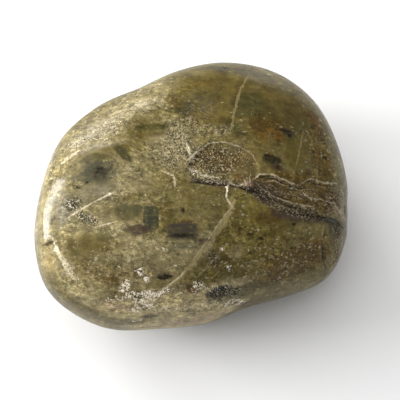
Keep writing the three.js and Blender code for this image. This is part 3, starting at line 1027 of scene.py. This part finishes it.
    # dust and flecks, and glints: bright specks painted in for sparkles of light
    colour = laidOn(colour, times(sprinkle("dust", times(lively, 0.5)), strong["dust"]), "dust")
    flecked = times(readField(tree, "flecked"), clear, ease(tree, calm, 0.2, 0.9, 1, 0.1))
    fleck = sprinkle("fleck", calc(tree, "ADD", times(lively, 0.15), times(flecked, 0.55)))
    colour = laidOn(colour, times(fleck, strong["fleck"]), "dust")
    colour = laidOn(colour, times(sprinkle("glint", times(flecked, 0.55), here), strong["glint"]), "glint")
    colour = laidOn(colour, times(sprinkle("speck", 0.12, here), strong["speck"]), "ink")

    # cracks and the painted shade under the steps, scratches and ledges, which wander more than scratches do,
    # painted highlights, and white grains
    dark = drawn("dark", 0.5, 0.5)
    colour = laidOn(colour, dark, "ink")
    wander = ease(tree, readField(tree, "scar"), -0.2, 0.5, 0.25, 0.6)
    # the pale lines include painted highlights at the left edge and on the shoulder
    pale = times(drawn("pale", wander, 0.6), ease(tree, grain, 0.36, 0.52, 0.5, 1))
    colour = laidOn(colour, pale, "pale")
    frosted = readField(tree, "frost")
    patchy = ease(tree, varied("clusters"), 0.36, 0.6, 0.3, 1.1)
    level = calc(tree, "ADD", grain, times(frosted, patchy, 0.2))
    gaps = times(ease(tree, level, 0.63, 0.54), ease(tree, frosted, 0.4, 1), strong["gap"])
    colour = laidOn(colour, gaps, "crush")
    frost = times(ease(tree, level, 0.63, 0.75), ease(tree, frosted, 0, 0.7))
    colour = laidOn(colour, frost, "frost")

    matt = ease(tree, readField(tree, "matt"), 0.2, 0.9)
    dull = most(times(crushed, 0.8), times(frost, 0.7), times(pale, 0.6), matt)
    polished = readField(tree, "polished")
    shine = ease(tree, polished, 0.2, 0.9, stone["polish"], stone["brightPolish"])
    height = foldValues(tree, "ADD", [  # how far each mark stands out, in bump heights
        salt,
        times(pepper, -1),
        times(speckle, lively, 0.6),
        times(dark, -1.5),
        times(fleck, -0.4),
        times(grain, polished, 1.2),
    ])
    bump = addNode(tree, "ShaderNodeBump", {"Height": height, "Distance": stone["bumpHeight"]})
    inputs = {
        "Base Color": colour,
        "Roughness": ease(tree, dull, 0, 1, stone["roughness"], stone["dullRoughness"]),
        "Specular IOR Level": stone["underPolish"],
        "Coat Weight": times(without(dull), shine, ease(tree, grain, 0.36, 0.58, 0.55, 1)),
        "Coat Roughness": stone["polishRoughness"],
        "Coat IOR": stone["polishIor"],
        "Normal": bump.outputs[0],
    }
    shader = addNode(tree, "ShaderNodeBsdfPrincipled", inputs)
    addNode(tree, "ShaderNodeOutputMaterial", {"Surface": shader.outputs[0]})
    return material


def makeStone():
    pebble = bpy.data.objects.new("opalPebble", mesh)
    bpy.context.scene.collection.objects.link(pebble)
    modifier = pebble.modifiers.new("relief", "NODES")
    tree = reliefTree()
    modifier.node_group = tree
    sockets = {item.name: item.identifier for item in tree.interface.items_tree if item.in_out == "INPUT"}
    for name, value in {**relief, "Seed": seed, "Stone Material": opalMaterial()}.items():
        modifier[sockets[name]] = value
    bpy.context.view_layer.update()
    worked = bpy.data.meshes.new_from_object(pebble.evaluated_get(bpy.context.evaluated_depsgraph_get()))
    pebble.modifiers.remove(modifier)
    pebble.data = worked
    worked.name = "opalPebble"
    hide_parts("stone")
    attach(pebble, "root")
    return pebble


makeStone()
print("stone: relief and material")

studio = {
    "floorSide": 1.6,
    "floorColour": (0.88, 0.88, 0.88, 1),
    "floorRoughness": 0.7,
    "surroundings": 0.265,
    "target": (0, 0, 0.01),
    "lights": {  # bearing and height in degrees, distance, width and height in metres, watts
        "window": (177, 21.5, 0.5, 0.24, 0.17, 2.35),
        "back": (130, 20, 0.5, 0.3, 0.16, 1.6),
        "ceiling": (138, 68, 0.62, 1.2, 1.2, 5.25),
    },
    "mirrored": ("window",),  # the lights that the polish shows
}
view = {
    "pixels": 400,  # the whole picture, each way
    "height": 70,  # degrees above the floor
    "distance": 0.3,
    "aim": (0, 0, 0.009),
    "pixelsPerMm": 8.24,
    "aimAt": (192.9, 199.5),  # pixel that the aim falls on
    "sensor": 36,
}


def lightPanel(name):
    bearing, height, distance, width, tall, watts = studio["lights"][name]
    lamp = bpy.data.lights.new(name, "AREA")
    lamp.shape = "RECTANGLE"
    lamp.size = width
    lamp.size_y = tall
    lamp.energy = watts
    holder = bpy.data.objects.new(name, lamp)
    holder.visible_glossy = name in studio["mirrored"]
    bpy.context.scene.collection.objects.link(holder)
    bearing, height = math.radians(bearing), math.radians(height)
    level = math.cos(height)
    way = Vector((math.cos(bearing) * level, math.sin(bearing) * level, math.sin(height)))
    holder.location = Vector(studio["target"]) + way * distance
    holder.rotation_euler = (-way).to_track_quat("-Z", "Y").to_euler()


def paperFloor():
    half = studio["floorSide"] / 2
    sheet = bpy.data.meshes.new("floor")
    corners = [(-half, -half, 0), (half, -half, 0), (half, half, 0), (-half, half, 0)]
    sheet.from_pydata(corners, [], [(0, 1, 2, 3)])
    paper = bpy.data.materials.new("paper")
    paper.use_nodes = True
    shader = paper.node_tree.nodes["Principled BSDF"]
    shader.inputs["Base Color"].default_value = studio["floorColour"]
    shader.inputs["Roughness"].default_value = studio["floorRoughness"]
    sheet.materials.append(paper)
    floor = bpy.data.objects.new("floor", sheet)
    bpy.context.scene.collection.objects.link(floor)


def camera():
    lens = bpy.data.cameras.new("camera")
    holder = bpy.data.objects.new("camera", lens)
    bpy.context.scene.collection.objects.link(holder)
    height = math.radians(view["height"])
    back = Vector((0, -math.cos(height), math.sin(height)))
    holder.location = Vector(view["aim"]) + back * view["distance"]
    holder.rotation_euler = (-back).to_track_quat("-Z", "Y").to_euler()
    pixels = view["pixels"]
    lens.sensor_width = view["sensor"]
    lens.lens = view["pixelsPerMm"] * view["distance"] / mm / pixels * view["sensor"]
    lens.shift_x = (pixels / 2 - view["aimAt"][0]) / pixels
    lens.shift_y = (view["aimAt"][1] - pixels / 2) / pixels
    lens.clip_start = 0.01
    lens.clip_end = 10
    bpy.context.scene.camera = holder


paperFloor()
for name in studio["lights"]:
    lightPanel(name)
world = bpy.data.worlds.new("surroundings")
world.use_nodes = True
world.node_tree.nodes["Background"].inputs["Color"].default_value = (1, 1, 1, 1)
world.node_tree.nodes["Background"].inputs["Strength"].default_value = studio["surroundings"]
bpy.context.scene.world = world
bpy.context.scene.view_settings.view_transform = "Standard"
camera()
print("stage: floor, lights and camera")
